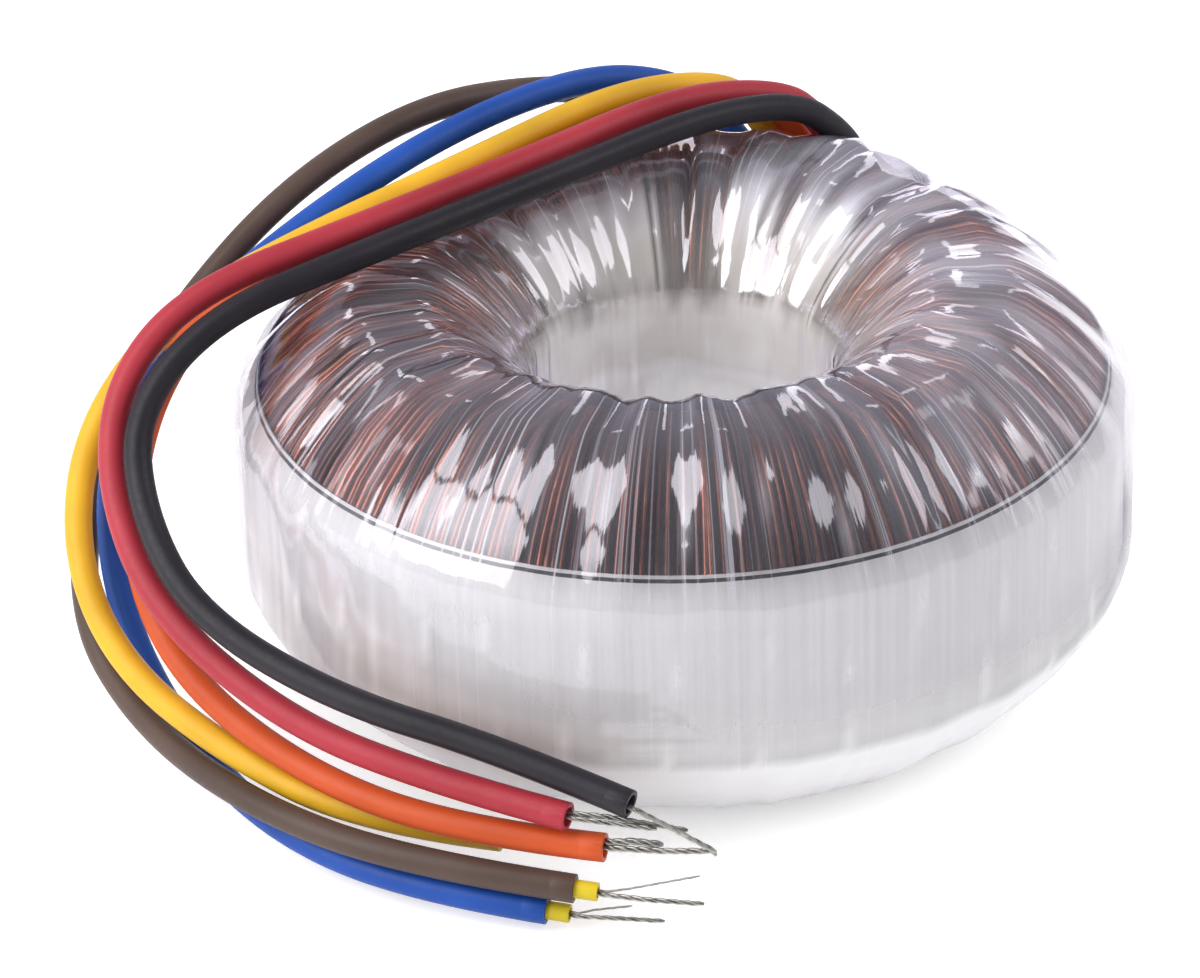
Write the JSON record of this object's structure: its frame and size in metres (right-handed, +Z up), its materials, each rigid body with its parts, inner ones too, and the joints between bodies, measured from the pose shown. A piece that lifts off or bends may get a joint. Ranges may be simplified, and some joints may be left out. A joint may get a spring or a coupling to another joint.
{
  "type": "toroidal transformer",
  "caption": "Ring-shaped mains transformer under pleated clear film, with a bare label band round its wall and sleeved flying leads that arch over one side.",
  "frame": {"origin": "centre of the ring, at the level of the flat lower crest that it rests on", "axes": "+Z up along the axis of the ring; the leads leave the film at the back (+Y) and end in front (-Y)"},
  "size_m": [0.0949, 0.0904, 0.0433],
  "materials": {
    "core_steel": "strip-wound electrical steel, plain",
    "insulating_tape": "polyester tape, slightly amber",
    "enamelled_copper": "enamelled copper wire, satin",
    "label_paper": "silver-white label stock, bare",
    "clear_film": "clear polyester film, glossy and pleated",
    "sleeve_black": "satin vinyl sleeving, black",
    "sleeve_red": "satin vinyl sleeving, red",
    "sleeve_orange": "satin vinyl sleeving, orange",
    "sleeve_yellow": "satin vinyl sleeving, yellow",
    "sleeve_blue": "satin vinyl sleeving, blue",
    "sleeve_brown": "satin vinyl sleeving, brown",
    "inner_sleeve": "yellow inner sleeving",
    "tinned_wire": "dull tinned copper wire"
  },
  "bodies": {
    "root": {"core": "core_steel", "core_insulation": "insulating_tape", "primary_winding": "enamelled_copper", "interwinding_insulation": "insulating_tape", "secondary_winding_inner": "enamelled_copper", "secondary_winding_outer": "enamelled_copper", "rating_label": "label_paper", "outer_wrap": "clear_film", "lead_sleeve_black": "sleeve_black", "wire_end_black": "tinned_wire", "lead_sleeve_red": "sleeve_red", "wire_end_red": "tinned_wire", "lead_sleeve_orange": "sleeve_orange", "wire_end_orange": "tinned_wire", "lead_sleeve_yellow": "sleeve_yellow", "wire_end_yellow": "tinned_wire", "lead_sleeve_blue": "sleeve_blue", "wire_end_blue": "tinned_wire", "lead_sleeve_brown": "sleeve_brown", "wire_end_brown": "tinned_wire", "inner_sleeve_blue": "inner_sleeve", "inner_sleeve_brown": "inner_sleeve"}
  },
  "joints": []
}
